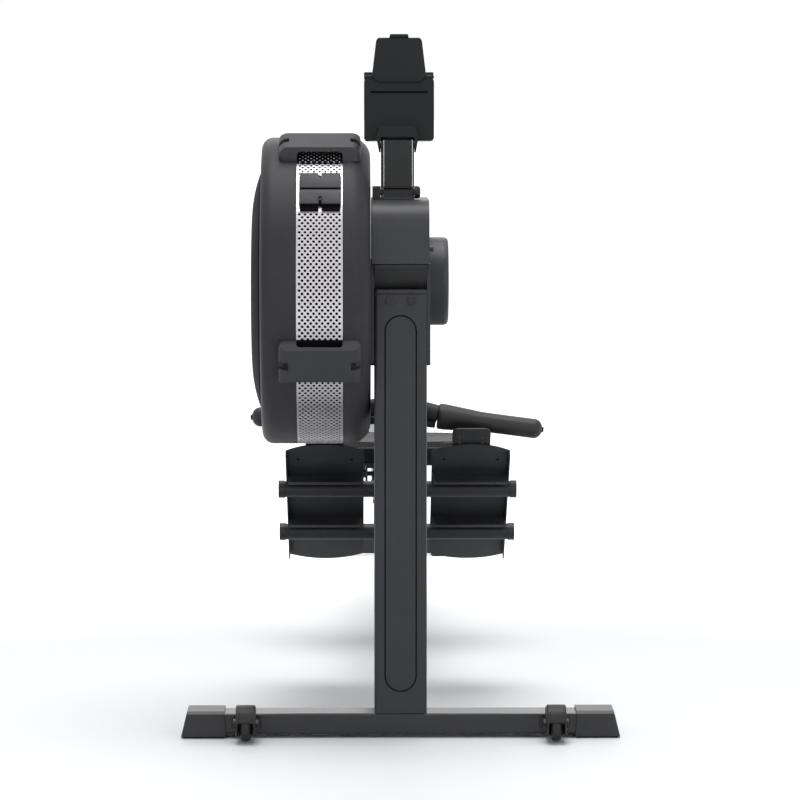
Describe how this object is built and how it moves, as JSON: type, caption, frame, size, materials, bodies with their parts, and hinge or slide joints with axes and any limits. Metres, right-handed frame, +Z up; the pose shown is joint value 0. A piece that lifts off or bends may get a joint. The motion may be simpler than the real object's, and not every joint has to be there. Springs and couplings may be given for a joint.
{
  "type": "air rowing machine",
  "caption": "Upright-front air rowing machine: fan drum beside a post, level rail with sliding seat, sloped footrest, pull handle on a strap and a monitor on an arm.",
  "frame": {"origin": "on the floor under the middle of the machine's box", "axes": "+Y from the fan towards the seat and rear foot, +X to the right seen from the fan end, +Z up"},
  "size_m": [0.637, 2.4949, 1.0187],
  "materials": {
    "frame_steel": "satin black powder coat",
    "housing_plastic": "fine matt moulded plastic",
    "band_metal": "perforated, bright satin",
    "rail_metal": "anodised dark satin",
    "bright_steel": "machined",
    "zinc_bolt": "black oxide",
    "fan_metal": "satin",
    "soft_rubber": "matt",
    "grip_rubber": "soft matt",
    "webbing": "woven nylon",
    "seat_foam": "moulded foam skin",
    "screen_glass": "glossy display window",
    "button_plastic": "matt"
  },
  "bodies": {
    "frame": {"front_foot": "frame_steel", "rear_foot": "frame_steel", "post": "frame_steel", "head_bracket": "frame_steel", "side_plate_left": "frame_steel", "side_plate_right": "frame_steel", "rear_leg": "frame_steel", "footrest_bracket": "frame_steel", "cross_tubes": "frame_steel", "foot_plate_left": "frame_steel", "foot_plate_right": "frame_steel", "strap_guide": "frame_steel", "arm_base": "frame_steel", "foot_end_caps": "housing_plastic", "wheel_brackets": "housing_plastic", "spring_housing": "housing_plastic", "drive_cover": "housing_plastic", "lower_cover": "housing_plastic", "drum_shell_left": "housing_plastic", "drum_shell_right": "housing_plastic", "drum_side_cover": "housing_plastic", "drum_bridges": "housing_plastic", "band_clamp": "housing_plastic", "drum_band": "band_metal", "rail": "rail_metal", "shaft_bearings": "bright_steel", "recoil_spring": "bright_steel", "wheel_bolts": "zinc_bolt", "frame_bolts": "zinc_bolt", "foot_pads": "soft_rubber", "rail_stops": "soft_rubber", "strap_lead": "webbing", "pull_strap": "webbing", "foot_straps": "webbing"},
    "wheel_left": {"wheel_left": "soft_rubber"},
    "wheel_right": {"wheel_right": "soft_rubber"},
    "fan": {"fan_shaft": "bright_steel", "fan_wheel": "fan_metal"},
    "spool": {"strap_spool": "housing_plastic"},
    "guide_roller": {"guide_roller": "housing_plastic"},
    "damper": {"damper_dial": "housing_plastic", "damper_shutter": "frame_steel"},
    "handle": {"handle_bar": "housing_plastic", "handle_grips": "grip_rubber"},
    "seat": {"seat_carriage": "frame_steel", "seat_pan": "housing_plastic", "seat_cushion": "seat_foam"},
    "rollers_front": {"seat_rollers_front": "housing_plastic"},
    "rollers_rear": {"seat_rollers_rear": "housing_plastic"},
    "rollers_lower": {"seat_rollers_lower": "housing_plastic"},
    "foot_holder_left": {"foot_holder_left": "housing_plastic"},
    "foot_holder_right": {"foot_holder_right": "housing_plastic"},
    "monitor_arm": {"monitor_arm": "frame_steel"},
    "monitor": {"monitor_case": "housing_plastic", "monitor_screen": "screen_glass", "phone_holder": "housing_plastic"},
    "phone_clamp": {"phone_clamp": "housing_plastic"},
    "button_left": {"button_left": "button_plastic"},
    "button_middle": {"button_middle": "button_plastic"},
    "button_right": {"button_right": "button_plastic"}
  },
  "joints": [
    {"name": "wheel_left_spin", "type": "hinge", "parent": "frame", "child": "wheel_left", "pos_m": [-0.2235, -1.2163, 0.027], "axis": [1, 0, 0], "continuous": true},
    {"name": "wheel_right_spin", "type": "hinge", "parent": "frame", "child": "wheel_right", "pos_m": [0.2235, -1.2163, 0.027], "axis": [1, 0, 0], "continuous": true},
    {"name": "fan_spin", "type": "hinge", "parent": "frame", "child": "fan", "pos_m": [-0.1225, -1.0163, 0.6425], "axis": [1, 0, 0], "continuous": true},
    {"name": "handle_pull", "type": "slide", "parent": "frame", "child": "handle", "axis": [0, 1, 0], "range_m": [0, 1.35], "deforming": ["pull_strap"]},
    {"name": "spool_spin", "type": "hinge", "parent": "frame", "child": "spool", "pos_m": [0, -1.0163, 0.6425], "axis": [1, 0, 0], "range_deg": [-1600, 20]},
    {"name": "guide_spin", "type": "hinge", "parent": "frame", "child": "guide_roller", "pos_m": [0, -0.9523, 0.462], "axis": [1, 0, 0], "range_deg": [-20, 5700]},
    {"name": "damper_turn", "type": "hinge", "parent": "frame", "child": "damper", "pos_m": [-0.2, -1.0163, 0.6425], "axis": [1, 0, 0], "range_deg": [0, 30]},
    {"name": "seat_slide", "type": "slide", "parent": "frame", "child": "seat", "axis": [0, 1, 0], "range_m": [-0.285, 1.15]},
    {"name": "rollers_front_spin", "type": "hinge", "parent": "seat", "child": "rollers_front", "pos_m": [0, -0.2463, 0.3003], "axis": [1, 0, 0], "range_deg": [-6700, 1700]},
    {"name": "rollers_rear_spin", "type": "hinge", "parent": "seat", "child": "rollers_rear", "pos_m": [0, -0.1063, 0.3003], "axis": [1, 0, 0], "range_deg": [-6700, 1700]},
    {"name": "rollers_lower_spin", "type": "hinge", "parent": "seat", "child": "rollers_lower", "pos_m": [0, -0.1763, 0.2747], "axis": [1, 0, 0], "range_deg": [-1900, 7500]},
    {"name": "foot_holder_left_slide", "type": "slide", "parent": "frame", "child": "foot_holder_left", "axis": [0, 0.7431, -0.6691], "range_m": [-0.0125, 0.05]},
    {"name": "foot_holder_right_slide", "type": "slide", "parent": "frame", "child": "foot_holder_right", "axis": [0, 0.7431, -0.6691], "range_m": [-0.0125, 0.05]},
    {"name": "arm_swing", "type": "hinge", "parent": "frame", "child": "monitor_arm", "pos_m": [-0.004, -1.1243, 0.79], "axis": [1, 0, 0], "range_deg": [0, 35]},
    {"name": "monitor_tilt", "type": "hinge", "parent": "monitor_arm", "child": "monitor", "pos_m": [-0.004, -1.1243, 0.8575], "axis": [1, 0, 0], "range_deg": [-8, 20]},
    {"name": "phone_clamp_slide", "type": "slide", "parent": "monitor", "child": "phone_clamp", "axis": [0, 0.0698, 0.9976], "range_m": [0, 0.03], "stiffness_N_per_m": 60, "springref_m": -0.01},
    {"name": "button_left_press", "type": "slide", "parent": "monitor", "child": "button_left", "axis": [0, -0.9976, 0.0698], "range_m": [0, 0.001], "stiffness_N_per_m": 400, "springref_m": -0.0005},
    {"name": "button_middle_press", "type": "slide", "parent": "monitor", "child": "button_middle", "axis": [0, -0.9976, 0.0698], "range_m": [0, 0.001], "stiffness_N_per_m": 400, "springref_m": -0.0005},
    {"name": "button_right_press", "type": "slide", "parent": "monitor", "child": "button_right", "axis": [0, -0.9976, 0.0698], "range_m": [0, 0.001], "stiffness_N_per_m": 400, "springref_m": -0.0005}
  ],
  "couplings": [
    {"joint": "spool_spin", "follows": "handle_pull", "rad_per_m": -20},
    {"joint": "guide_spin", "follows": "handle_pull", "rad_per_m": 71.429},
    {"joint": "rollers_front_spin", "follows": "seat_slide", "rad_per_m": -100},
    {"joint": "rollers_rear_spin", "follows": "seat_slide", "rad_per_m": -100},
    {"joint": "rollers_lower_spin", "follows": "seat_slide", "rad_per_m": 111.11}
  ]
}
